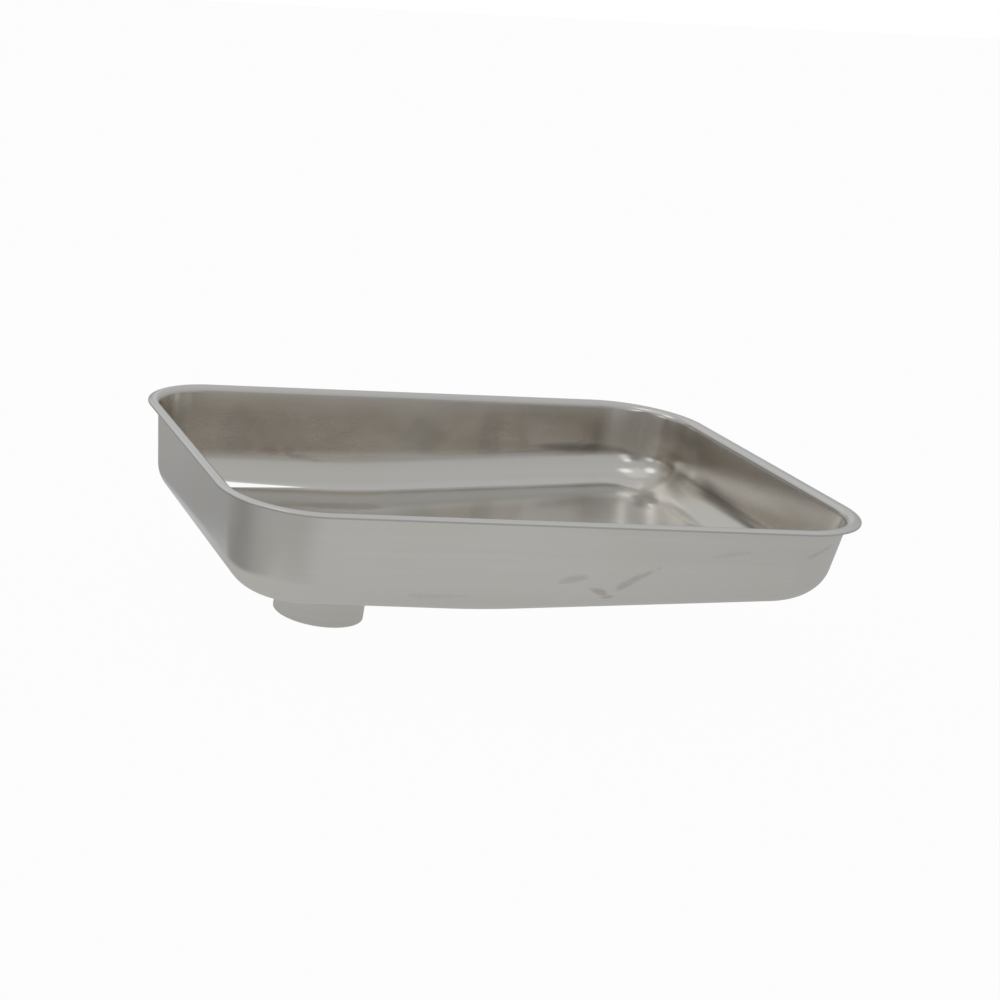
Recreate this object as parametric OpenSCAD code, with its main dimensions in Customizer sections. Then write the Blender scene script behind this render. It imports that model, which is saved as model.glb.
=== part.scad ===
// Drain pan: a drawn stainless tray with a flat turned-out rim, steep walls, a large bottom
// radius, and a floor that falls towards a welded drain spigot.
//
// Origin: centre of the spigot's open end.  +Z up, +X towards the shallow end.

/* [Tray] */
// outside length of the rim
rim_l = 370; // [340:1:440]
// outside width of the rim
rim_w = 265; // [240:1:320]
// radius of the rim's corners, seen from above
rim_corner_r = 52; // [46:1:64]
// thickness of the drawn sheet
sheet_t = 1.0; // [0.8:0.1:1.5]
// how far the rim stands out past the outside of the wall
rim_overhang = 6.5; // [5:0.5:9]
// inside radius of the bend between rim and wall
rim_bend_r = 4; // [1.5:0.5:5]
// lean of the walls from upright, in degrees
draft = 6.5; // [4:0.5:9]
// outside radius between wall and floor
floor_r = 23; // [14:1:26]

/* [Floor] */
// depth of the level part, rim face to underside
deep = 63; // [57:1:76]
// slope of the rising part, in degrees
rise_angle = 4.1; // [2:0.1:5]
// where the rise starts, along the length from the middle of the rim
rise_start = -31; // [-31:1:10]
// half the length over which level floor blends into rising floor
rise_blend = 20; // [10:1:20]

/* [Spigot] */
// outside diameter of the spigot tube
spigot_od = 55; // [40:1:55]
// wall thickness of the spigot tube
spigot_t = 1.5; // [1.2:0.1:2.5]
// length of the tube below the floor
spigot_l = 46; // [30:1:60]
// distance of the spigot from the middle of the rim, towards the deep end
spigot_offset = 84; // [84:1:90]
// bevel inside the tube's open end
spigot_bevel = 0.5; // [0.2:0.1:0.8]
// how much the tube's top is turned down, on the radius, to sit in the tray's hole
register_step = 0.5; // [0.3:0.1:0.5]

/* [Welds] */
// leg of the fillet weld under the floor
weld_leg = 3.5; // [2:0.5:3.5]
// depth of the bevel that the inside seam fills
seam_depth = 0.6; // [0.3:0.1:0.6]

/* [Hidden] */
// segments per corner, seen from above
corner_steps = 16;
// segments around the rim bend and around the bottom radius
bend_steps = 5;
floor_steps = 10;
// segments through the blend in the floor
blend_steps = 6;

steel = [0.66, 0.65, 0.63];
weld_steel = [0.58, 0.56, 0.54];

// heights above the spigot's open end
floor_z = spigot_l;
rim_z = spigot_l + deep;
// middle of the rim
mid_x = spigot_offset;

spigot_r = spigot_od / 2;
register_r = spigot_r - register_step;
register_z = floor_z - weld_leg;
seam_z = floor_z + sheet_t - seam_depth;
slope = tan(rise_angle);

// Underside of the floor at a distance x from the middle of the rim: level, then a parabola
// over the blend, then a steady rise.
function rise(x) =
    let (u = x - rise_start)
    u <= -rise_blend ? 0
    : u >= rise_blend ? slope * u
    : slope * (u + rise_blend) ^ 2 / (4 * rise_blend);

// local steepness of the floor
function steep(x) = slope * min(1, max(0, (x - rise_start + rise_blend) / (2 * rise_blend)));

// One cross-section through rim, wall and bottom radius.  "lift" is 0 for the underside of the
// sheet and sheet_t for the upper side.  x is where the section meets the rim's edge and nx is
// the lengthwise part of the direction it faces.  Points are [distance in from the edge, z],
// with z counted from the rim's upper face.
function section(lift, x, nx) =
    let (
        face_z = lift - sheet_t,
        bend_r = rim_bend_r + lift,
        bend_z = face_z - bend_r,
        bend_q = rim_overhang + (lift - bend_r - bend_z * sin(draft)) / cos(draft),
        steepness = steep(x),
        tilt = atan(steepness * nx),
        wall_c = floor_r + rim_overhang * cos(draft),
        base_z = -deep + rise(x) + lift * sqrt(1 + steepness ^ 2),
        round_r = floor_r - lift,
        floor_c = round_r + base_z * cos(tilt),
        det = cos(draft + tilt),
        round_q = (wall_c * cos(tilt) - sin(draft) * floor_c) / det,
        round_z = (cos(draft) * floor_c - sin(tilt) * wall_c) / det,
        bend_sweep = 90 - draft,
        round_sweep = 90 - tilt - draft
    )
    [
        [0, face_z],
        for (i = [0 : bend_steps])
            let (a = 90 - bend_sweep * i / bend_steps)
            [bend_q + bend_r * cos(a), bend_z + bend_r * sin(a)],
        for (i = [0 : floor_steps])
            let (a = 180 + draft + round_sweep * i / floor_steps)
            [round_q + round_r * cos(a), round_z + round_r * sin(a)]
    ];

// Stations round the rim's edge, anticlockwise from the shallow end's front corner:
// [x, y, outward direction].
corner_x = rim_l / 2 - rim_corner_r;
corner_y = rim_w / 2 - rim_corner_r;
blend_x = [for (i = [0 : blend_steps]) rise_start - rise_blend + 2 * rise_blend * i / blend_steps];

function corner(cx, cy, start) = [
    for (i = [0 : corner_steps])
        let (a = start + 90 * i / corner_steps)
        [cx + rim_corner_r * cos(a), cy + rim_corner_r * sin(a), a]
];

stations = concat(
    corner(corner_x, -corner_y, -90),
    corner(corner_x, corner_y, 0),
    [for (i = [blend_steps : -1 : 0]) [blend_x[i], rim_w / 2, 90]],
    corner(-corner_x, corner_y, 90),
    corner(-corner_x, -corner_y, 180),
    [for (i = [0 : blend_steps]) [blend_x[i], -rim_w / 2, 270]]
);
station_count = len(stations);
ring_count = bend_steps + floor_steps + 3;

// all points of one side of the sheet, station by station
function skin(lift) = [
    for (s = stations)
        for (p = section(lift, s[0], cos(s[2])))
            [s[0] - p[0] * cos(s[2]), s[1] - p[0] * sin(s[2]), p[1]]
];

// index of a point: side 0 is the underside and side 1 the upper side
function at(side, station, ring) =
    (side * station_count + (station % station_count)) * ring_count + ring;

// Indices of the level and rising floor panels: strips across the tray between the blend
// stations, and one panel at each end.
back_first = 2 * (corner_steps + 1);
front_first = 4 * (corner_steps + 1) + blend_steps + 1;

function floor_panels(side) =
    let (last = ring_count - 1)
    concat(
        [[
            for (i = [0 : back_first]) at(side, i, last),
            at(side, station_count - 1, last)
        ]],
        [[
            for (i = [back_first + blend_steps : front_first]) at(side, i, last)
        ]],
        [for (i = [0 : blend_steps - 1]) [
            at(side, back_first + i, last),
            at(side, back_first + i + 1, last),
            at(side, station_count - 2 - i, last),
            at(side, station_count - 1 - i, last)
        ]]
    );

function flipped(faces) = [for (f = faces) [for (i = [len(f) - 1 : -1 : 0]) f[i]]];

function side_panels(side) = [
    for (s = [0 : station_count - 1])
        for (r = [0 : ring_count - 2])
            each [
                [at(side, s, r), at(side, s + 1, r), at(side, s + 1, r + 1)],
                [at(side, s, r), at(side, s + 1, r + 1), at(side, s, r + 1)]
            ]
];

edge_panels = [
    for (s = [0 : station_count - 1])
        [at(0, s, 0), at(0, s + 1, 0), at(1, s + 1, 0), at(1, s, 0)]
];

module sheet() {
    polyhedron(
        points = concat(skin(0), skin(sheet_t)),
        faces = concat(
            flipped(concat(side_panels(1), floor_panels(1))),
            side_panels(0),
            floor_panels(0),
            flipped(edge_panels)
        ),
        convexity = 6
    );
}

// drawn tray: rim, walls, bottom radius and floor in one sheet, with the spigot's hole
module pan() {
    color(steel)
        difference() {
            translate([mid_x, 0, rim_z])
                sheet();
            translate([0, 0, floor_z - 1])
                cylinder(r = register_r, h = sheet_t + 2, $fn = 128);
        }
}

// tube with its top turned down to sit in the tray's hole, level with the floor inside
module spigot() {
    color(steel)
        rotate_extrude($fn = 128)
            polygon([
                [spigot_r - spigot_t + spigot_bevel, 0],
                [spigot_r, 0],
                [spigot_r, register_z],
                [register_r, register_z],
                [register_r, seam_z],
                [register_r - seam_depth, floor_z + sheet_t],
                [spigot_r - spigot_t, floor_z + sheet_t],
                [spigot_r - spigot_t, spigot_bevel]
            ]);
}

// fillet weld round the tube, under the floor, with a slightly crowned face
module outer_weld() {
    crown = weld_leg * 0.62;
    color(weld_steel)
        rotate_extrude($fn = 128)
            polygon([
                [register_r, floor_z],
                [register_r, register_z],
                [spigot_r, register_z],
                [spigot_r + weld_leg * 0.3, floor_z - weld_leg * 0.88],
                [spigot_r + crown, floor_z - crown],
                [spigot_r + weld_leg * 0.88, floor_z - weld_leg * 0.3],
                [spigot_r + weld_leg, floor_z]
            ]);
}

// seam that fills the bevel round the tube's top, ground level with the floor
module inner_weld() {
    color(weld_steel)
        rotate_extrude($fn = 128)
            polygon([
                [register_r, seam_z],
                [register_r, floor_z + sheet_t],
                [register_r - seam_depth, floor_z + sheet_t]
            ]);
}

pan();
spigot();
outer_weld();
inner_weld();
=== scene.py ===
"""Drain pan in drawn stainless sheet with a welded spigot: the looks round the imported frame."""
import math

import bpy
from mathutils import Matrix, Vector
from mathutils.geometry import delaunay_2d_cdt


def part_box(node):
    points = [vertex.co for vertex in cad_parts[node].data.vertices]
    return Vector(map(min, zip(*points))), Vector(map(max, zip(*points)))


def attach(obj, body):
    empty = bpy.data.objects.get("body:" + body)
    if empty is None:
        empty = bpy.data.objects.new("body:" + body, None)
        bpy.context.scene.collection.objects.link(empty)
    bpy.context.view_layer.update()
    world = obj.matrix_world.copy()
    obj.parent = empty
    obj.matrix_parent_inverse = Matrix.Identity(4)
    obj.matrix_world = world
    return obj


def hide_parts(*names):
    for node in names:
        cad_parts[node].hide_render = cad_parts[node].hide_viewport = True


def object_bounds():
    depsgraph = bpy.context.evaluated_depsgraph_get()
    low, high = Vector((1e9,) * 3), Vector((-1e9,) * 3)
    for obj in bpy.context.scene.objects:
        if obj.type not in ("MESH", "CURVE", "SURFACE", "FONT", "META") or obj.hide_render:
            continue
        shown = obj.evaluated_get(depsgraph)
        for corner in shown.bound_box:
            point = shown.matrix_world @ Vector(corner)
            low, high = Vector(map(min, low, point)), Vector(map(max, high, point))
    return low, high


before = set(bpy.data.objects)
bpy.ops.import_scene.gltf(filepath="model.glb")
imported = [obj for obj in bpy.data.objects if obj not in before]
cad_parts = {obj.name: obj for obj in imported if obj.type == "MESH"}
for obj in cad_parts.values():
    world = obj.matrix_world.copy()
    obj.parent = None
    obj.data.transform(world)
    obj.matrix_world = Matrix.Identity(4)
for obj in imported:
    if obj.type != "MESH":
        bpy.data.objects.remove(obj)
cad_lo, cad_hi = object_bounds()
pan_lo, pan_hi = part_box("pan")
tube_lo, tube_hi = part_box("spigot")
weld_lo, weld_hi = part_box("outer_weld")
seam_lo, seam_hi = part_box("inner_weld")

# ---------------------------------------------------------------- sizes, in metres
MID_X = (pan_lo.x + pan_hi.x) / 2
RIM_Z = pan_hi.z
HALF_L = (pan_hi.x - pan_lo.x) / 2
HALF_W = (pan_hi.y - pan_lo.y) / 2
DEEP = pan_hi.z - pan_lo.z
SHEET = tube_hi.z - pan_lo.z
CORNER_R = 0.052
OVERHANG = 0.0065
BEND_R = 0.0035               # under the rim's crest; the frame's plain flat rim has 0.004
LIP_FALL = math.radians(27)   # how far the rim's outer part turns down
CREST = 0.0012                # how far the rim's crest stands over the frame's flat rim
FLOOR_R = 0.023
DRAFT = math.radians(6.5)
SLOPE = math.tan(math.radians(4.1))
RISE_START = -0.031
RISE_BLEND = 0.020
TUBE_R = (tube_hi.x - tube_lo.x) / 2
TUBE_T = 0.0015
WELD_LEG = weld_hi.z - weld_lo.z
REGISTER_R = (seam_hi.x - seam_lo.x) / 2
REGISTER_Z = weld_lo.z
SEAM = seam_hi.z - seam_lo.z

CORNER_STEPS = 40
SIDES = ((0, 0.0), (1, SHEET))   # underside and upper side: number, height in the sheet
EDGE_ROUND = 0.35      # rounding of the cut edge, as a share of the sheet
EDGE_STEPS = 6         # round the cut edge, from the underside to the upper side
CUT_DOWN = -0.001      # marks the lower half of the cut edge for the material
FLOOR_GRID = 0.0065    # spacing of the points over the floor
HOLE_STEPS = 128
HOLE_GUARDS = (0.0005, 0.003)    # rings of points round the hole, for an even mesh
SHARP_ANGLE = math.radians(32)   # edges turning more than this are shaded sharp


def rise(x):
    """Height gained by the floor at x from the rim's middle."""
    u = x - RISE_START
    if u <= -RISE_BLEND:
        return 0.0
    if u >= RISE_BLEND:
        return SLOPE * u
    return SLOPE * (u + RISE_BLEND) ** 2 / (4 * RISE_BLEND)


def steep(x):
    return SLOPE * min(1.0, max(0.0, (x - RISE_START + RISE_BLEND) / (2 * RISE_BLEND)))


def lerp(a, b, f):
    return (a[0] + (b[0] - a[0]) * f, a[1] + (b[1] - a[1]) * f)


def bend_middle():
    """Distance in from the rim's edge to the middle of the bend."""
    return OVERHANG + (-BEND_R + (SHEET + BEND_R - CREST) * math.sin(DRAFT)) / math.cos(DRAFT)


def lip_z(q):
    """Height of the rim's upper face on its straight outer part."""
    r = BEND_R + SHEET
    start_q = bend_middle() - r * math.sin(LIP_FALL)
    return CREST - r + r * math.cos(LIP_FALL) - (start_q - q) * math.tan(LIP_FALL)


def section(lift, x, nx):
    """Half of the sheet's cross-section, from the rim's edge to the floor: [(inward, z, wallness)].
    lift is 0 for the underside and SHEET for the upper side."""
    bend_r = BEND_R + lift
    bend_z = CREST - SHEET - BEND_R
    bend_q = bend_middle()
    lip_q = bend_q - bend_r * math.sin(LIP_FALL)
    k = steep(x)
    tilt = math.atan(k * nx)
    round_r = FLOOR_R - lift
    wall_c = FLOOR_R + OVERHANG * math.cos(DRAFT)
    floor_c = round_r + (-DEEP + rise(x) + lift * math.sqrt(1 + k * k)) * math.cos(tilt)
    det = math.cos(DRAFT + tilt)
    round_q = (wall_c * math.cos(tilt) - math.sin(DRAFT) * floor_c) / det
    round_z = (math.cos(DRAFT) * floor_c - math.sin(tilt) * wall_c) / det
    out = []
    start = EDGE_ROUND * SHEET
    for f in (0.0, 0.12, 0.5, 0.85):
        q = start + (lip_q - start) * f
        out.append((q, lip_z(q) + (lift - SHEET) / math.cos(LIP_FALL), 1.0))
    steps = 12
    for i in range(steps + 1):
        a = math.pi / 2 + LIP_FALL - (math.pi / 2 + LIP_FALL - DRAFT) * i / steps
        out.append((bend_q + bend_r * math.cos(a), bend_z + bend_r * math.sin(a), 1.0))
    a0 = math.pi + DRAFT
    sweep = math.pi / 2 - tilt - DRAFT
    top = out[-1]
    low = (round_q + round_r * math.cos(a0), round_z + round_r * math.sin(a0))
    for f in (0.02, 0.2, 0.4, 0.6, 0.8, 0.98):
        q, z = lerp(top, low, f)
        out.append((q, z, 1.0))
    steps = 24
    for i in range(steps + 1):
        a = a0 + sweep * i / steps
        w = 1.0 - i / steps
        out.append((round_q + round_r * math.cos(a), round_z + round_r * math.sin(a), w))
    q, z, _ = out[-1]
    for d in (0.0005, 0.003):
        out.append((q + d * math.cos(tilt), z - d * math.sin(tilt), 0.0))
    return out


def outline():
    """Stations round the rim: (x, y, direction it faces, distance along the edge)."""
    cx, cy = HALF_L - CORNER_R, HALF_W - CORNER_R
    out = []

    def corner(px, py, start):
        for i in range(CORNER_STEPS + 1):
            a = start + math.pi / 2 * i / CORNER_STEPS
            out.append((px + CORNER_R * math.cos(a), py + CORNER_R * math.sin(a), a))

    def side(x0, y0, x1, y1, a, extra=()):
        stops = sorted(set([i / 10 for i in range(1, 10)] + list(extra)))
        for f in [0.004] + stops + [0.996]:
            out.append((x0 + (x1 - x0) * f, y0 + (y1 - y0) * f, a))

    blend = [RISE_START - RISE_BLEND + RISE_BLEND * i / 8 for i in range(17)]
    back = [(cx - b) / (2 * cx) for b in blend]
    front = [(b + cx) / (2 * cx) for b in blend]
    corner(cx, -cy, -math.pi / 2)
    side(HALF_L, -cy, HALF_L, cy, 0.0)
    corner(cx, cy, 0.0)
    side(cx, HALF_W, -cx, HALF_W, math.pi / 2, back)
    corner(-cx, cy, math.pi / 2)
    side(-HALF_L, cy, -HALF_L, -cy, math.pi)
    corner(-cx, -cy, math.pi)
    side(-cx, -HALF_W, cx, -HALF_W, 1.5 * math.pi, front)
    stations, run = [], 0.0
    for i, (x, y, a) in enumerate(out):
        if i:
            run += math.hypot(x - out[i - 1][0], y - out[i - 1][1])
        stations.append((x, y, a, run))
    run += math.hypot(out[0][0] - out[-1][0], out[0][1] - out[-1][1])
    return stations, run


class Builder:
    """Collects points, faces and the per-point values that the materials read."""

    def __init__(self):
        self.co, self.grain, self.brush, self.wall, self.faces, self.slots = [], [], [], [], [], []

    def point(self, co, grain, brush, wall):
        self.co.append(tuple(co))
        self.grain.append(tuple(grain))
        self.brush.append(tuple(brush))
        self.wall.append(wall)
        return len(self.co) - 1

    def face(self, ids, slot=0):
        self.faces.append(tuple(ids))
        self.slots.append(slot)

    def build(self, name, materials):
        mesh = bpy.data.meshes.new(name)
        mesh.from_pydata(self.co, [], self.faces)
        mesh.validate()
        for m in materials:
            mesh.materials.append(m)
        mesh.polygons.foreach_set("material_index", self.slots)
        mesh.polygons.foreach_set("use_smooth", [True] * len(self.faces))
        for key, values in (("grain", self.grain), ("brush", self.brush)):
            layer = mesh.attributes.new(key, "FLOAT_VECTOR", "POINT")
            layer.data.foreach_set("vector", [c for v in values for c in v])
        layer = mesh.attributes.new("wall", "FLOAT", "POINT")
        layer.data.foreach_set("value", self.wall)
        mesh.set_sharp_from_angle(angle=SHARP_ANGLE)
        mesh.update()
        piece = bpy.data.objects.new(name, mesh)
        bpy.context.scene.collection.objects.link(piece)
        return piece


def inside(poly, x, y):
    hit = False
    for (x0, y0), (x1, y1) in zip(poly, poly[1:] + poly[:1]):
        if (y0 > y) != (y1 > y) and x < x0 + (y - y0) / (y1 - y0) * (x1 - x0):
            hit = not hit
    return hit


def around(run, length):
    """A place along the rim's edge, as a point on a circle as long as that edge."""
    turn = 2 * math.pi * run / length
    ring_r = length / (2 * math.pi)
    return ring_r * math.cos(turn), ring_r * math.sin(turn)


def side_rings(b, stations, length):
    """Points of rim, walls and bottom radius, by side, station and ring."""
    rings = {}
    for side, lift in SIDES:
        for s, (x, y, a, run) in enumerate(stations):
            nx, ny = math.cos(a), math.sin(a)
            down, last = 0.0, None
            for r, (q, z, w) in enumerate(section(lift, x, nx)):
                if last is not None:
                    down += math.hypot(q - last[0], z - last[1])
                last = (q, z)
                rings[side, s, r] = b.point((MID_X + x - q * nx, y - q * ny, RIM_Z + z),
                                            (-ny, nx, 0.0), (*around(run, length), down), w)
    return rings


def cut_edge(b, stations, length, rings):
    """Points of the rim's rounded cut edge, by station and step."""
    edge = {}
    edge_r = EDGE_ROUND * SHEET
    half = EDGE_STEPS // 2
    for s, (x, y, a, run) in enumerate(stations):
        nx, ny = math.cos(a), math.sin(a)
        for e in range(1, EDGE_STEPS):
            lower = e <= half
            t = math.pi / 2 * (e if lower else EDGE_STEPS - e) / half
            q = edge_r - edge_r * math.sin(t)
            z = -SHEET + edge_r - edge_r * math.cos(t) if lower else -edge_r + edge_r * math.cos(t)
            edge[s, e] = b.point(
                (MID_X + x - q * nx, y - q * ny, RIM_Z + lip_z(q) + z / math.cos(LIP_FALL)),
                (-ny, nx, 0.0), (*around(run, length), CUT_DOWN if lower else 0.0), 1.0)
        edge[s, 0], edge[s, EDGE_STEPS] = rings[0, s, 0], rings[1, s, 0]
    return edge


def floor_side(b, side, lift, border):
    """One side of the floor: a grid of points inside its border, joined up, with the spigot's hole
    left open.  Gives the points round the hole."""
    poly = [b.co[i][:2] for i in border]

    def floor_point(x, y):
        z = pan_lo.z + rise(x - MID_X) + lift * math.sqrt(1 + steep(x - MID_X) ** 2)
        return b.point((x, y, z), (1.0, 0.0, 0.0), (x, y, 0.0), 0.0)

    def circle(r):
        turns = [2 * math.pi * i / HOLE_STEPS for i in range(HOLE_STEPS)]
        return [floor_point(r * math.cos(a), r * math.sin(a)) for a in turns]

    hole = circle(REGISTER_R)
    ids = border + hole
    for guard in HOLE_GUARDS:
        ids += circle(REGISTER_R + guard)
    margin = FLOOR_GRID * 0.6
    for i in range(int(2 * HALF_L / FLOOR_GRID)):
        for j in range(int(2 * HALF_W / FLOOR_GRID)):
            x = pan_lo.x + (i + 0.5) * FLOOR_GRID
            y = pan_lo.y + (j + 0.5) * FLOOR_GRID
            if math.hypot(x, y) < REGISTER_R + HOLE_GUARDS[-1] + margin:
                continue
            if all(inside(poly, x + dx * margin, y + dy * margin)
                   for dx, dy in ((1, 0), (-1, 0), (0, 1), (0, -1))):
                ids.append(floor_point(x, y))
    first = len(border)
    edges = [(i, (i + 1) % first) for i in range(first)]
    edges += [(first + i, first + (i + 1) % HOLE_STEPS) for i in range(HOLE_STEPS)]
    found = delaunay_2d_cdt([Vector(b.co[i][:2]) for i in ids], edges, [], 0, 1e-7)
    triangles, came_from = found[2], [origin[0] for origin in found[3]]
    for triangle in triangles:
        t = [ids[came_from[v]] for v in triangle]
        (x0, y0), (x1, y1), (x2, y2) = [b.co[i][:2] for i in t]
        mx, my = (x0 + x1 + x2) / 3, (y0 + y1 + y2) / 3
        if math.hypot(mx, my) < REGISTER_R * 0.9995 or not inside(poly, mx, my):
            continue
        if (x1 - x0) * (y2 - y0) - (x2 - x0) * (y1 - y0) < 0:
            t = t[::-1]
        b.face(t if side else t[::-1], 0 if side else 1)
    return hole


def build_pan(materials):
    """The drawn sheet: rim, walls, bottom radius, floor and the hole for the spigot."""
    b = Builder()
    stations, length = outline()
    count = len(stations)
    rows = len(section(0.0, 0.0, 1.0))
    rings = side_rings(b, stations, length)
    edge = cut_edge(b, stations, length, rings)
    for s in range(count):
        n = (s + 1) % count
        for r in range(rows - 1):
            b.face((rings[0, s, r], rings[0, n, r], rings[0, n, r + 1], rings[0, s, r + 1])[::-1], 1)
            b.face((rings[1, s, r], rings[1, n, r], rings[1, n, r + 1], rings[1, s, r + 1]), 0)
        for e in range(EDGE_STEPS):
            b.face((edge[s, e], edge[s, e + 1], edge[n, e + 1], edge[n, e])[::-1], 1)
    under, upper = [floor_side(b, side, lift, [rings[side, s, rows - 1] for s in range(count)])
                    for side, lift in SIDES]
    for i in range(HOLE_STEPS):
        n = (i + 1) % HOLE_STEPS
        b.face((under[i], under[n], upper[n], upper[i])[::-1], 0)
    return b.build("tray_sheet", materials)


def lathe(name, profile, material, steps=HOLE_STEPS, wobble=None):
    """A closed ring turned round the spigot's axis.  profile is [(radius, z)], anticlockwise in
    the radius-z plane; wobble(angle, index) gives an offset (dr, dz) for each point."""
    b = Builder()
    ids = {}
    for i in range(steps):
        a = 2 * math.pi * i / steps
        run = 0.0
        for k, (r, z) in enumerate(profile):
            if k:
                run += math.hypot(r - profile[k - 1][0], z - profile[k - 1][1])
            dr, dz = wobble(a, k) if wobble else (0.0, 0.0)
            rr = r + dr
            ids[i, k] = b.point(
                (rr * math.cos(a), rr * math.sin(a), z + dz), (-math.sin(a), math.cos(a), 0.0),
                (TUBE_R * math.cos(a), TUBE_R * math.sin(a), max(z, run)), 1.0)
    for i in range(steps):
        n = (i + 1) % steps
        for k in range(len(profile)):
            m = (k + 1) % len(profile)
            b.face((ids[i, k], ids[n, k], ids[n, m], ids[i, m]))
    return b.build(name, [material])


# ---------------------------------------------------------------- materials
GRAIN_DEPTH = 0.00004  # height of the fine lines, and of the slow waves left by the press
WAVE_DEPTH = 0.0016
FOOT_Z = 0.0654        # height of the lower edge of the dull walls at x = 0, and its slope
FOOT_SLOPE = 0.0412
END_WALL = (0.246, 0.254)     # x where the shallow end's wall starts
BAND_Z = 0.0895        # height of the cleaner band on the shallow end's wall, and its slope
BAND_SLOPE = -0.10
END_FOOT = (0.0725, 0.0815)   # heights over which the dark foot of that wall ends at y = 0
END_FOOT_SLOPE = 0.12
SHADE_Y = 0.063        # front edge of the greyer part of the floor at x = 0, and its slope
SHADE_SLOPE = 0.08
HELD_LEAN = math.radians(6.5 + 83.5 * 0.61)  # lean of the held part of the bottom radius
FLAT_Y = 0.1021        # near edge of the painted highlight streak, shaded as if pressed flat, and its slope, where it ends, how it widens
FLAT_SLOPE = 0.070
FLAT_END = 0.037
FLAT_TAPER = 0.125
FLAT_FACES = (-0.3685, -0.6212, 0.6920)   # the way it faces
END_DARK = (0.26, 0.25, 0.23, 1)
# painted reflection: the lighter steel at the foot of the bottom radius
RADIUS_SHEEN_STEEL = (0.92, 0.91, 0.89, 1)
FLOOR_STEEL = (0.95, 0.945, 0.93, 1)
FLOOR_SHADE = (0.69, 0.685, 0.665, 1)
# painted sheen: the lighter steel of the rim
RIM_SHEEN_STEEL = (0.97, 0.967, 0.955, 1)
CUT_STEEL = (0.30, 0.295, 0.28, 1)
SMOKE = (0.40, 0.385, 0.36)
SOOT = (0.33, 0.32, 0.30)
PALE = (0.86, 0.83, 0.78)
GREASE = (0.50, 0.47, 0.44)
RUST = (0.40, 0.30, 0.23)
# smears: middle, half sizes, (angle,) strength, colour
WALL_SMEARS = [
    ((-0.026, 0.082), (0.020, 0.018), 0.35, SMOKE), ((0.098, 0.084), (0.022, 0.014), 0.40, SMOKE),
    ((0.148, 0.086), (0.010, 0.020), 0.40, SMOKE), ((0.193, 0.086), (0.022, 0.018), 0.65, PALE),
    ((0.228, 0.094), (0.010, 0.022), 0.50, SMOKE), ((-0.080, 0.095), (0.020, 0.030), 0.50, SMOKE),
    ((0.212, 0.0775), (0.030, 0.004), 1.0, SOOT)]
END_SMEAR = ((0.082, 0.083), (0.026, 0.014), 0.9, (0.97, 0.93, 0.86))
FLOOR_SMEARS = [
    ((0.030, 0.070), (0.030, 0.008), 0, 0.5, (0.42, 0.41, 0.40)),
    ((0.234, 0.068), (0.022, 0.0085), 61, 0.8, (0.36, 0.355, 0.34)),
    ((0.233, 0.054), (0.004, 0.006), 0, 0.9, (1.0, 1.0, 0.99))]
# small marks: middle, half sizes, angle, strength, colour
INNER_MARKS = [
    ((0.006, 0.080), (0.016, 0.020), 80, 0.15, RUST), ((0.003, 0.068), (0.014, 0.003), 5, 0.25, RUST),
    ((0.018, 0.064), (0.016, 0.002), -8, 0.25, RUST), ((0.211, 0.0745), (0.022, 0.002), 4, 0.20, RUST)]
OUTER_MARKS = [
    ((0.095, 0.074), (0.008, 0.0025), 12, 0.32, GREASE), ((0.111, 0.067), (0.006, 0.002), -20, 0.38, RUST),
    ((0.119, 0.063), (0.004, 0.0015), 10, 0.35, RUST), ((0.131, 0.076), (0.013, 0.002), 31, 0.40, GREASE),
    ((0.126, 0.071), (0.006, 0.0015), 31, 0.30, RUST), ((0.232, 0.095), (0.009, 0.0015), 24, 0.28, GREASE),
    ((0.020, 0.060), (0.018, 0.002), 2, 0.15, GREASE), ((0.182, 0.093), (0.012, 0.0015), 12, 0.14, GREASE)]


class Nodes:
    """Short way to add and join shader nodes."""

    def __init__(self, tree):
        self.tree = tree
        tree.nodes.clear()

    def add(self, kind, inputs=None, **props):
        n = self.tree.nodes.new("ShaderNode" + kind)
        for key, value in props.items():
            setattr(n, key, value)
        for key, value in (inputs or {}).items():
            self.put(n.inputs[key], value)
        return n

    def put(self, socket, value):
        if isinstance(value, bpy.types.NodeSocket):
            self.tree.links.new(value, socket)
        elif isinstance(value, bpy.types.Node):
            self.tree.links.new(value.outputs[0], socket)
        else:
            socket.default_value = value

    def math(self, op, a, b=0.0, c=0.0, clamp=False):
        return self.add("Math", {0: a, 1: b, 2: c}, operation=op, use_clamp=clamp).outputs[0]

    def vmath(self, op, a, b=(0, 0, 0)):
        n = self.add("VectorMath", {0: a, 1: b}, operation=op)
        return n.outputs["Value" if op == "DOT_PRODUCT" else "Vector"]

    def ramp(self, value, stops):
        n = self.add("ValToRGB", {0: value})
        while len(n.color_ramp.elements) < len(stops):
            n.color_ramp.elements.new(0.5)
        for e, (pos, colour) in zip(n.color_ramp.elements, stops):
            e.position = pos
            e.color = (*colour, 1)
        return n.outputs[0]

    def mix(self, fac, a, b, blend="MIX"):
        n = self.add("Mix", data_type="RGBA", blend_type=blend)
        self.put(n.inputs[0], fac)
        self.put(n.inputs[6], a)
        self.put(n.inputs[7], b)
        return n.outputs[2]

    def mixf(self, fac, a, b):
        n = self.add("Mix", data_type="FLOAT")
        self.put(n.inputs[0], fac)
        self.put(n.inputs[2], a)
        self.put(n.inputs[3], b)
        return n.outputs[0]

    def noise(self, vector, scale, detail=2.0, rough=0.5):
        return self.add("TexNoise", {"Vector": vector, "Scale": scale, "Detail": detail,
                                     "Roughness": rough}).outputs["Fac"]

    def scaled(self, vector, xyz):
        return self.vmath("MULTIPLY", vector, xyz)


def soft_step(n, value, low, high):
    """0 below low, 1 above high, smooth between."""
    return n.add("MapRange", {0: value, 1: low, 2: high, 3: 0.0, 4: 1.0},
                 interpolation_type="SMOOTHSTEP").outputs[0]


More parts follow.
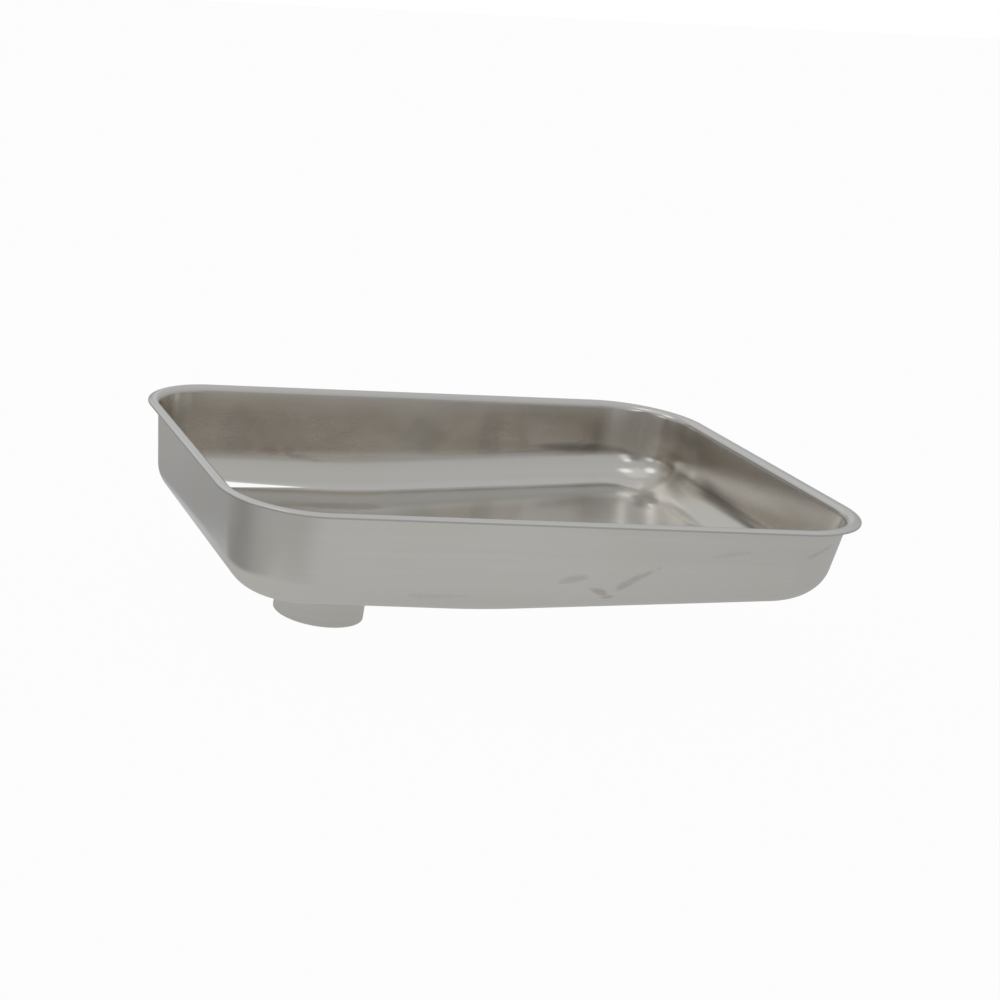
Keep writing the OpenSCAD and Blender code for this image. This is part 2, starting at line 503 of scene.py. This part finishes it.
def soft_drop(n, value, low, high):
    """1 below low, 0 above high, smooth between."""
    return n.math("SUBTRACT", 1.0, soft_step(n, value, low, high))


def mark(n, place, ragged, at, size, angle=0.0, axes="XZ"):
    """A soft oval in the plane of two axes: its middle, its half sizes, turned by angle degrees."""
    s = n.add("SeparateXYZ", {0: place})
    ca, sa = math.cos(math.radians(angle)), math.sin(math.radians(angle))
    dx = n.math("SUBTRACT", s.outputs[axes[0]], at[0])
    dz = n.math("SUBTRACT", s.outputs[axes[1]], at[1])
    u = n.math("ADD", n.math("MULTIPLY", dx, ca / size[0]), n.math("MULTIPLY", dz, sa / size[0]))
    v = n.math("SUBTRACT", n.math("MULTIPLY", dz, ca / size[1]), n.math("MULTIPLY", dx, sa / size[1]))
    r = n.math("ADD", n.math("MULTIPLY", u, u), n.math("MULTIPLY", v, v))
    r = n.math("ADD", r, n.math("MULTIPLY", n.math("SUBTRACT", ragged, 0.5), 2.4))
    return soft_drop(n, r, 0.0, 1.4)


def brushed(n, place, brush, wall, along, across):
    """Fine lines: round the wall on the sides, along the length on the floor."""
    return n.mixf(wall, n.noise(n.scaled(place, (along, across, along)), 1.0, 2.0, 0.6),
                  n.noise(n.scaled(brush, (along, along, across)), 1.0, 2.0, 0.6))


def haze(n, place, down, grain):
    """How dull the walls are, and the clouds in it: less in the far corner, none on the radius."""
    x, y, z = n.add("SeparateXYZ", {0: place}).outputs
    facing = n.add("SeparateXYZ", {0: grain})
    clouds = n.noise(n.scaled(place, (17, 17, 26)), 1.0, 4.0, 0.6)
    in_corner = n.math("ABSOLUTE", n.math("MULTIPLY", facing.outputs["X"], facing.outputs["Y"]))
    in_corner = n.math("MULTIPLY", in_corner, n.math("MULTIPLY", soft_step(n, x, 0.0, 0.1),
                                                     soft_step(n, y, -0.02, 0.05)))
    foot = n.math("SUBTRACT", z, n.math("MULTIPLY_ADD", x, FOOT_SLOPE, FOOT_Z))
    amount = n.math("MULTIPLY", soft_step(n, down, 0.003, 0.028), soft_step(n, foot, -0.003, 0.004))
    amount = n.math("MULTIPLY", amount, n.math("SUBTRACT", 1.0, n.math("MULTIPLY", in_corner, 0.9)))
    return n.math("MULTIPLY", amount, n.math("MULTIPLY_ADD", clouds, 0.5, 0.72), clamp=True), clouds


def end_wall(n, place, down, wall):
    """The shallow end's wall: where it is, its cleaner band, and the dark above and below that."""
    x, y, z = n.add("SeparateXYZ", {0: place}).outputs
    at_end = soft_step(n, x, *END_WALL)
    off = n.math("ABSOLUTE", n.math("SUBTRACT", z, n.math("MULTIPLY_ADD", y, BAND_SLOPE, BAND_Z)))
    above = n.math("MULTIPLY", soft_step(n, off, 0.005, 0.013), n.math("GREATER_THAN", z, BAND_Z))
    below = soft_drop(n, n.math("MULTIPLY_ADD", y, -END_FOOT_SLOPE, z), *END_FOOT)
    below = n.math("MULTIPLY", below, soft_step(n, wall, 0.64, 0.80))
    below = n.math("MULTIPLY", below, n.math("MULTIPLY_ADD", soft_step(n, y, 0.035, 0.060), -0.85, 1.0))
    dark = n.math("MAXIMUM", n.math("MULTIPLY", above, 0.20), n.math("MULTIPLY", below, 0.92))
    dark = n.math("MULTIPLY", dark, soft_step(n, down, 0.006, 0.014))
    clean = n.math("MULTIPLY", at_end, soft_drop(n, off, 0.002, 0.010))
    return at_end, n.math("MULTIPLY", clean, soft_step(n, y, -0.07, -0.01)), dark


def floor_tone(n, base, place, wall):
    """The foot of the bottom radius is the brightest, its colour painted lighter as a painted reflection
    of the light overhead, and the floor is greyer along the back, a painted shade.
    """
    x, y, _ = n.add("SeparateXYZ", {0: place}).outputs
    # painted reflection: the foot of the bottom radius is painted lighter
    foot_sheen = n.math("MULTIPLY", soft_step(n, wall, 0.01, 0.04), soft_drop(n, wall, 0.22, 0.4))
    base = n.mix(foot_sheen, base, RADIUS_SHEEN_STEEL)
    on_floor = soft_drop(n, wall, 0.0, 0.03)
    base = n.mix(on_floor, base, FLOOR_STEEL)
    shade = soft_step(n, n.math("SUBTRACT", y, n.math("MULTIPLY_ADD", x, SHADE_SLOPE, SHADE_Y)),
                      -0.006, 0.006)
    return n.mix(n.math("MULTIPLY", shade, on_floor), base, FLOOR_SHADE)


def smears(n, base, place, wall, amount, at_end):
    """Broad smears on the back wall, a pale one on the end wall, and some on the floor."""
    ragged = n.noise(place, 55.0, 2.0, 0.5)
    for at, size, strength, tint in WALL_SMEARS:
        m = n.math("MULTIPLY", mark(n, place, ragged, at, size), strength)
        base = n.mix(n.math("MULTIPLY", m, amount), base, (*tint, 1))
    at, size, strength, tint = END_SMEAR
    m = n.math("MULTIPLY", mark(n, place, ragged, at, size, axes="YZ"), at_end)
    base = n.mix(n.math("MULTIPLY", m, strength), base, (*tint, 1))
    near_floor = soft_drop(n, wall, 0.1, 0.4)
    for at, size, angle, strength, tint in FLOOR_SMEARS:
        m = n.math("MULTIPLY", mark(n, place, ragged, at, size, angle, "XY"), strength)
        base = n.mix(n.math("MULTIPLY", m, near_floor), base, (*tint, 1))
    return base


def inside_colour(n, base, place, down, grain, wall, dull):
    """Colour of the tray's upper side: clean rim painted lighter as a painted sheen, brownish walls, clean
    bottom radius with its foot painted lighter as a painted reflection, floor greyer along the back as
    painted shade.
    Gives the colour and how dull each place is."""
    amount, clouds = haze(n, place, down, grain)
    at_end, clean, dark_end = end_wall(n, place, down, wall)
    amount = n.math("MULTIPLY", amount, n.math("MULTIPLY_ADD", clean, -0.55, 1.0))
    darker = tuple(c * k for c, k in zip(dull, (0.86, 0.83, 0.79)))
    brown = n.mix(soft_step(n, clouds, 0.35, 0.75), (*dull, 1), (*darker, 1))
    base = n.mix(amount, base, brown)
    base = n.mix(n.math("MULTIPLY", dark_end, at_end), base, END_DARK)
    base = floor_tone(n, base, place, wall)
    base = smears(n, base, place, wall, amount, at_end)
    # the rim is kept clean and painted lighter, a painted sheen
    rim_sheen_mask = n.math("MULTIPLY", soft_drop(n, down, 0.004, 0.010), soft_step(n, wall, 0.8, 1.0))
    return n.mix(rim_sheen_mask, base, RIM_SHEEN_STEEL), amount


def foot_lean_and_streak(n, base, rough, normal, place, grain, wall):
    """The foot of the back wall, in the shading alone: shaded a little flatter along its length, held at
    one lean, and a painted highlight streak near the deep end that tapers towards the shallow end: there
    the shading is turned as if the sheet were pressed flat and the colour is painted white."""
    x, y, _ = n.add("SeparateXYZ", {0: place}).outputs
    facing = n.add("SeparateXYZ", {0: grain})
    inward = n.add("CombineXYZ", {0: n.math("MULTIPLY", facing.outputs["Y"], -math.cos(HELD_LEAN)),
                                  1: n.math("MULTIPLY", facing.outputs["X"], math.cos(HELD_LEAN)),
                                  2: math.sin(HELD_LEAN)}).outputs[0]
    held = n.math("MULTIPLY", soft_step(n, wall, 0.07, 0.13), soft_drop(n, wall, 0.36, 0.42))
    held = n.math("MULTIPLY", held, soft_step(n, y, 0.078, 0.090))
    normal = n.vmath("NORMALIZE", n.mix(held, normal, inward))
    above = n.math("SUBTRACT", y, n.math("MULTIPLY_ADD", x, FLAT_SLOPE, FLAT_Y))
    width = n.math("MULTIPLY", n.math("SUBTRACT", FLAT_END, x), FLAT_TAPER)
    past = n.math("SUBTRACT", above, width)
    flat = n.math("MULTIPLY", soft_step(n, above, 0.0, 0.0004), soft_drop(n, past, -0.0032, 0.0010))
    flat = n.math("MULTIPLY", flat, n.math("LESS_THAN", wall, 0.75))
    faces = n.add("CombineXYZ", dict(enumerate(FLAT_FACES))).outputs[0]
    # it shows only where it throws the light from overhead back to the eye
    eye = n.add("NewGeometry").outputs["Incoming"]
    toward_eye = n.vmath("DOT_PRODUCT", faces, eye)
    thrown = n.math("SUBTRACT", n.math("MULTIPLY", toward_eye, 2 * FLAT_FACES[2]),
                    n.add("SeparateXYZ", {0: eye}).outputs["Z"])
    flat = n.math("MULTIPLY", flat, soft_step(n, toward_eye, 0.1, 0.4))
    flat = n.math("MULTIPLY", flat, soft_step(n, thrown, 0.35, 0.75))
    # painted highlight: where the streak shows, the colour is painted white and the shading made shinier
    return n.mix(flat, base, (1, 1, 1, 1)), n.mixf(flat, rough, 0.12), n.mix(flat, normal, faces)


def steel(name, colour, roughness, aniso, grain_bump, dull=None, marks=(), heat=0.0, wave=0.0):
    """Satin stainless with fine lines along the grain, cloudy colour and roughness, and slow waves
    in the sheet.  dull is the colour of the less polished walls inside the tray."""
    mat = bpy.data.materials.new(name)
    mat.use_nodes = True
    n = Nodes(mat.node_tree)
    place = n.add("TexCoord").outputs["Object"]
    brush = n.add("Attribute", attribute_name="brush").outputs["Vector"]
    grain = n.add("Attribute", attribute_name="grain").outputs["Vector"]
    wall = n.add("Attribute", attribute_name="wall").outputs["Fac"]
    down = n.add("SeparateXYZ", {0: brush}).outputs["Z"]
    fine = brushed(n, place, brush, wall, 8, 420)
    broad = brushed(n, place, brush, wall, 5, 170)
    cloud = n.noise(place, 14.0, 3.0, 0.55)
    rough = n.math("MULTIPLY_ADD", cloud, 0.06, roughness - 0.03)
    # colour: a little warmer in places
    warm = tuple(c * k for c, k in zip(colour, (1.0, 0.985, 0.955)))
    base = n.mix(soft_step(n, cloud, 0.35, 0.7), (*colour, 1), (*warm, 1))
    if dull:
        base, amount = inside_colour(n, base, place, down, grain, wall, dull)
        rough = n.math("MULTIPLY_ADD", amount, 0.10, rough)
    else:
        # the cut edge is dark along its lower half
        cut = soft_drop(n, down, -0.0009, -0.0002)
        base = n.mix(n.math("MULTIPLY", cut, 0.45), base, CUT_STEEL)
    lines = 0.012 if dull else 0.04
    tone = n.math("MULTIPLY", n.math("MULTIPLY_ADD", fine, lines, 1.0 - lines / 2),
                  n.math("MULTIPLY_ADD", broad, lines * 2, 1.0 - lines))
    base = n.mix(1.0, base, n.add("CombineColor", {0: tone, 1: tone, 2: tone}).outputs[0],
                 "MULTIPLY")
    if marks:
        # inside they are on the back wall, outside on the front
        ragged = n.noise(place, 170.0, 2.0, 0.5)
        shown = n.add("SeparateXYZ", {0: place}).outputs["Y"]
        shown = n.math("GREATER_THAN" if dull else "LESS_THAN", shown, 0.0)
        for at, size, angle, strength, tint in marks:
            m = n.math("MULTIPLY", mark(n, place, ragged, at, size, angle), strength)
            m = n.math("MULTIPLY", m, shown)
            base = n.mix(m, base, (*tint, 1))
            rough = n.math("MULTIPLY_ADD", m, 0.15, rough)
    if heat:
        straw = n.noise(place, 120.0, 3.0, 0.6)
        base = n.mix(n.math("MULTIPLY", straw, heat), base, (0.40, 0.29, 0.17, 1))
    rough = n.math("MULTIPLY_ADD", broad, 0.06, n.math("SUBTRACT", rough, 0.03), clamp=True)
    # bump: grain, then slow waves left by the press
    normal = n.add("Bump", {"Strength": grain_bump, "Distance": GRAIN_DEPTH, "Height": broad}).outputs[0]
    if wave:
        slow = n.noise(place, 10.0, 1.0, 0.3)
        normal = n.add("Bump", {"Strength": wave, "Distance": WAVE_DEPTH, "Height": slow,
                                "Normal": normal}).outputs[0]
    if dull:
        base, rough, normal = foot_lean_and_streak(n, base, rough, normal, place, grain, wall)
    shader = n.add("BsdfPrincipled", {
        "Base Color": base, "Metallic": 1.0, "Roughness": rough, "Anisotropic": aniso,
        "Tangent": grain, "Normal": normal})
    n.add("OutputMaterial", {"Surface": shader.outputs[0]})
    return mat


inner_steel = steel("inner_steel", (0.88, 0.868, 0.835), 0.17, 0.2, 0.04, dull=(0.69, 0.645, 0.585),
                    wave=0.05, marks=INNER_MARKS)
outer_steel = steel("outer_steel", (0.80, 0.79, 0.762), 0.25, 0.5, 0.5, wave=0.03, marks=OUTER_MARKS)
tube_steel = steel("tube_steel", (0.78, 0.77, 0.745), 0.30, 0.4, 0.4)
weld_steel = steel("weld_steel", (0.58, 0.55, 0.51), 0.36, 0.2, 0.3, heat=0.4)

# ---------------------------------------------------------------- pieces
tray = build_pan([inner_steel, outer_steel])
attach(tray, "root")
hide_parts("pan")

top_z = tube_hi.z
in_r = TUBE_R - TUBE_T
# from the open end's bevel up the outside, over the step and the seam's bevel, and down the bore
tube_profile = [
    (in_r + 0.0005, 0.0), (in_r + 0.0008, 0.0), (TUBE_R - 0.00045, 0.0),
    (TUBE_R - 0.0002, 0.00006), (TUBE_R - 0.00006, 0.0002), (TUBE_R, 0.00045),
    (TUBE_R, 0.0012), (TUBE_R, 0.020), (TUBE_R, REGISTER_Z - 0.0005), (TUBE_R, REGISTER_Z),
    (REGISTER_R, REGISTER_Z), (REGISTER_R, top_z - SEAM), (REGISTER_R - SEAM, top_z),
    (in_r + 0.0001, top_z), (in_r, top_z - 0.0001), (in_r, top_z - 0.001), (in_r, 0.020),
    (in_r, 0.0011), (in_r, 0.0006), (in_r + 0.00015, 0.0002)]
tube = lathe("spigot_tube", tube_profile, tube_steel)
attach(tube, "root")
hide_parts("spigot")

RIPPLES = 74


def bead_wobble(a, k):
    """Ripples of the weld pool, on the bead's open face only."""
    if k in (0, 1, 2, BEAD_LAST):
        return 0.0, 0.0
    wave = abs(math.sin(a * RIPPLES / 2)) - 0.5
    slow = math.sin(3 * a + 0.7) + 0.6 * math.sin(7 * a + 2.0)
    grow = 0.00010 * wave + 0.00012 * slow
    return grow, -grow


bead_profile = [(REGISTER_R, pan_lo.z), (REGISTER_R, REGISTER_Z), (TUBE_R, REGISTER_Z)]
for i in range(1, 10):
    t = math.pi / 2 * i / 10
    bulge = 0.13 * math.sin(2 * t)
    bead_profile.append((TUBE_R + WELD_LEG * (1 - math.cos(t)) * 0.86 + WELD_LEG * bulge,
                         pan_lo.z - WELD_LEG * (1 - math.sin(t)) * 0.86 - WELD_LEG * bulge))
bead_profile.append((TUBE_R + WELD_LEG * 0.985, pan_lo.z))
BEAD_LAST = len(bead_profile) - 1
bead = lathe("outer_bead", bead_profile, weld_steel, steps=RIPPLES * 8, wobble=bead_wobble)
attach(bead, "root")
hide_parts("outer_weld")

seam_profile = [(REGISTER_R, top_z - SEAM), (REGISTER_R, top_z),
                (REGISTER_R - SEAM * 0.35, top_z + 0.00005),
                (REGISTER_R - SEAM * 0.7, top_z + 0.00004), (REGISTER_R - SEAM, top_z)]
seam = lathe("inner_seam", seam_profile, weld_steel, steps=256)
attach(seam, "root")
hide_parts("inner_weld")

# ---------------------------------------------------------------- stage
FLOOR_SIZE = 6.0
floor_mesh = bpy.data.meshes.new("floor")
floor_mesh.from_pydata([(-FLOOR_SIZE, -FLOOR_SIZE, 0), (FLOOR_SIZE, -FLOOR_SIZE, 0),
                        (FLOOR_SIZE, FLOOR_SIZE, 0), (-FLOOR_SIZE, FLOOR_SIZE, 0)], [], [(0, 1, 2, 3)])
floor = bpy.data.objects.new("floor", floor_mesh)
bpy.context.scene.collection.objects.link(floor)
floor.location.z = cad_lo.z


def greys(stops):
    return [(at, (level, level, level)) for at, level in stops]


# how bright the sheet is where the steel sees it: (share of the way across, grey)
UNDER_PAN = [(0.19, 0.355), (0.35, 0.35), (0.55, 0.35), (0.82, 0.29)]
PAST_EDGE = [(0.167, 0.25), (0.233, 0.24), (0.317, 0.205), (0.383, 0.135), (0.50, 0.11),
             (0.583, 0.145), (0.667, 0.18), (1.0, 0.24)]
floor_mat = bpy.data.materials.new("pale_floor")
floor_mat.use_nodes = True
n = Nodes(floor_mat.node_tree)
path = n.add("LightPath")
back = n.add("NewGeometry").outputs["Backfacing"]
place = n.add("TexCoord").outputs["Object"]
paper = n.noise(place, 60.0, 3.0)
# what the steel sees: a pale sheet round the pan, darker beyond its left edge
spot = n.add("SeparateXYZ", {0: place})
sheet_x, sheet_y = spot.outputs["X"], spot.outputs["Y"]
level_far = n.ramp(n.add("MapRange", {0: sheet_y, 1: -0.30, 2: 0.30}).outputs[0], greys(PAST_EDGE))
level = n.ramp(n.add("MapRange", {0: sheet_x, 1: -0.30, 2: 0.50}).outputs[0], greys(UNDER_PAN))
beside = n.math("MULTIPLY", soft_step(n, sheet_y, 0.03, 0.12), soft_drop(n, sheet_x, -0.06, 0.0))
level = n.mix(beside, level, (0.43, 0.445, 0.47, 1))
before = n.math("MULTIPLY", soft_drop(n, sheet_y, -0.25, -0.17), soft_drop(n, sheet_x, -0.12, 0.02))
level = n.mix(n.math("MULTIPLY", before, 0.85), level, (0.23, 0.23, 0.225, 1))
skew = n.math("MULTIPLY_ADD", n.math("MAXIMUM", sheet_y, 0.0), -0.35, sheet_x)
level = n.mix(soft_step(n, skew, -0.180, -0.145), level_far, level)
tone = n.mix(paper, (0.33, 0.33, 0.33, 1), (0.37, 0.37, 0.37, 1))
fill = n.add("Emission", {"Color": level, "Strength": 1.0})
bounced = n.add("AddShader", {0: n.add("BsdfDiffuse", {"Color": tone}), 1: fill.outputs[0]})
# what the camera sees: the same sheet, washed out to near white
white = n.add("Emission", {"Color": (1, 1, 1, 1), "Strength": 1.0})
seen = n.add("MixShader", {0: 0.97, 1: n.add("BsdfDiffuse", {"Color": (0.76, 0.76, 0.76, 1)}), 2: white})
lit = n.add("MixShader", {0: path.outputs["Is Camera Ray"], 1: bounced.outputs[0], 2: seen.outputs[0]})
clear = n.add("BsdfTransparent")
final = n.add("MixShader", {0: back, 1: lit.outputs[0], 2: clear.outputs[0]})
n.add("OutputMaterial", {"Surface": final.outputs[0]})
floor_mesh.materials.append(floor_mat)

# ---------------------------------------------------------------- light
world = bpy.data.worlds.new("studio")
bpy.context.scene.world = world
world.use_nodes = True
n = Nodes(world.node_tree)
direction = n.add("TexCoord").outputs["Generated"]
split = n.add("SeparateXYZ", {0: direction})
z = split.outputs["Z"]


def patch(centre, width, soft):
    """1 inside a soft round patch of sky round a direction, 0 outside."""
    c = Vector(centre).normalized()
    d = n.vmath("DOT_PRODUCT", direction, tuple(c))
    lo = math.cos(math.radians(width + soft))
    hi = math.cos(math.radians(width))
    m = n.add("MapRange", {0: d, 1: lo, 2: hi, 3: 0.0, 4: 1.0}, interpolation_type="SMOOTHSTEP")
    return m.outputs[0]


def toward(azimuth, elevation):
    """Direction at an azimuth from +Y round towards +X, and an elevation, in degrees."""
    a, e = math.radians(azimuth), math.radians(elevation)
    return (math.sin(a) * math.cos(e), math.cos(a) * math.cos(e), math.sin(e))


def lit_patch(sky, azimuth, elevation, width, soft, level, share):
    m = patch(toward(azimuth, elevation), width, soft)
    return n.mix(n.math("MULTIPLY", m, share), sky, (level, level, level, 1))


# a grey room, darker near the horizon, brighter overhead
ROOM = [(0.0, 0.30), (0.17, 0.37), (0.42, 0.41), (0.90, 0.44)]
# patches: azimuth, elevation, half width, soft edge (degrees), grey, share
DARK_PATCHES = [(-128, 12, 8, 14, 0.20, 1.0), (165, 3, 10, 16, 0.27, 0.7), (-35, 3, 8, 12, 0.20, 1.0)]
# lamps, all to the left: two high, two lower, one behind the camera; then two pale screens beyond
LAMPS = [(-113, 68, 5, 5, 0.86, 1.0), (-77, 38, 5, 6, 0.95, 1.0), (-134, 30, 3, 5, 0.95, 1.0),
         (-97, 9, 3, 5, 0.90, 1.0), (-142, 19, 4, 6, 0.75, 1.0)]
SCREENS = [(-12, 31, 12, 14, 0.50, 1.0), (20, 14, 6, 8, 0.49, 1.0)]
sky = n.ramp(z, greys(ROOM))
for item in DARK_PATCHES + LAMPS + SCREENS:
    sky = lit_patch(sky, *item)
path = n.add("LightPath")
shown = n.mix(path.outputs["Is Camera Ray"], sky, (1, 1, 1, 1))
n.add("OutputWorld", {"Surface": n.add("Background", {"Color": shown, "Strength": 1.0}).outputs[0]})


def softbox(name, place, target, size, power):
    data = bpy.data.lights.new(name, "AREA")
    data.shape = "RECTANGLE"
    data.size, data.size_y = size
    data.energy = power
    lamp = bpy.data.objects.new(name, data)
    bpy.context.scene.collection.objects.link(lamp)
    lamp.location = place
    lamp.rotation_mode = "QUATERNION"
    lamp.rotation_quaternion = (Vector(target) - Vector(place)).to_track_quat("-Z", "Y")
    lamp.visible_camera = False
    return lamp


centre = (cad_lo + cad_hi) / 2
softbox("key", (-0.5, 0.2, 1.5), centre, (1.0, 0.8), 0.3)

# ---------------------------------------------------------------- camera
CAM_PLACE = Vector((-0.41127, -1.07031, 0.43647))
CAM_TURN = (71.385, -2.730, -1.528)
CAM_LENS = 66.386
CAM_SHIFT = (0.7524, -0.0240)

cam_data = bpy.data.cameras.new("camera")
camera = bpy.data.objects.new("camera", cam_data)
bpy.context.scene.collection.objects.link(camera)
camera.location = CAM_PLACE
camera.rotation_euler = [math.radians(a) for a in CAM_TURN]
cam_data.sensor_width = 36.0
cam_data.lens = CAM_LENS
cam_data.clip_start = 0.01
bpy.context.scene.camera = camera
# The lens shift belongs to this one place: from anywhere else the camera looks straight ahead.
for axis, amount in zip(("shift_x", "shift_y"), CAM_SHIFT):
    curve = cam_data.driver_add(axis)
    driver = curve.driver
    driver.type = "SCRIPTED"
    for letter in "xyz":
        v = driver.variables.new()
        v.name = letter
        v.type = "TRANSFORMS"
        v.targets[0].id = camera
        v.targets[0].transform_type = "LOC_" + letter.upper()
        v.targets[0].transform_space = "WORLD_SPACE"
    off = " + ".join(f"abs({letter} - {value:.5f})" for letter, value in
                     zip("xyz", CAM_PLACE))
    driver.expression = f"{amount} if {off.replace('- -', '+ ')} < 0.001 else 0"

bpy.context.scene.view_settings.view_transform = "Standard"
bpy.context.scene.view_settings.look = "None"
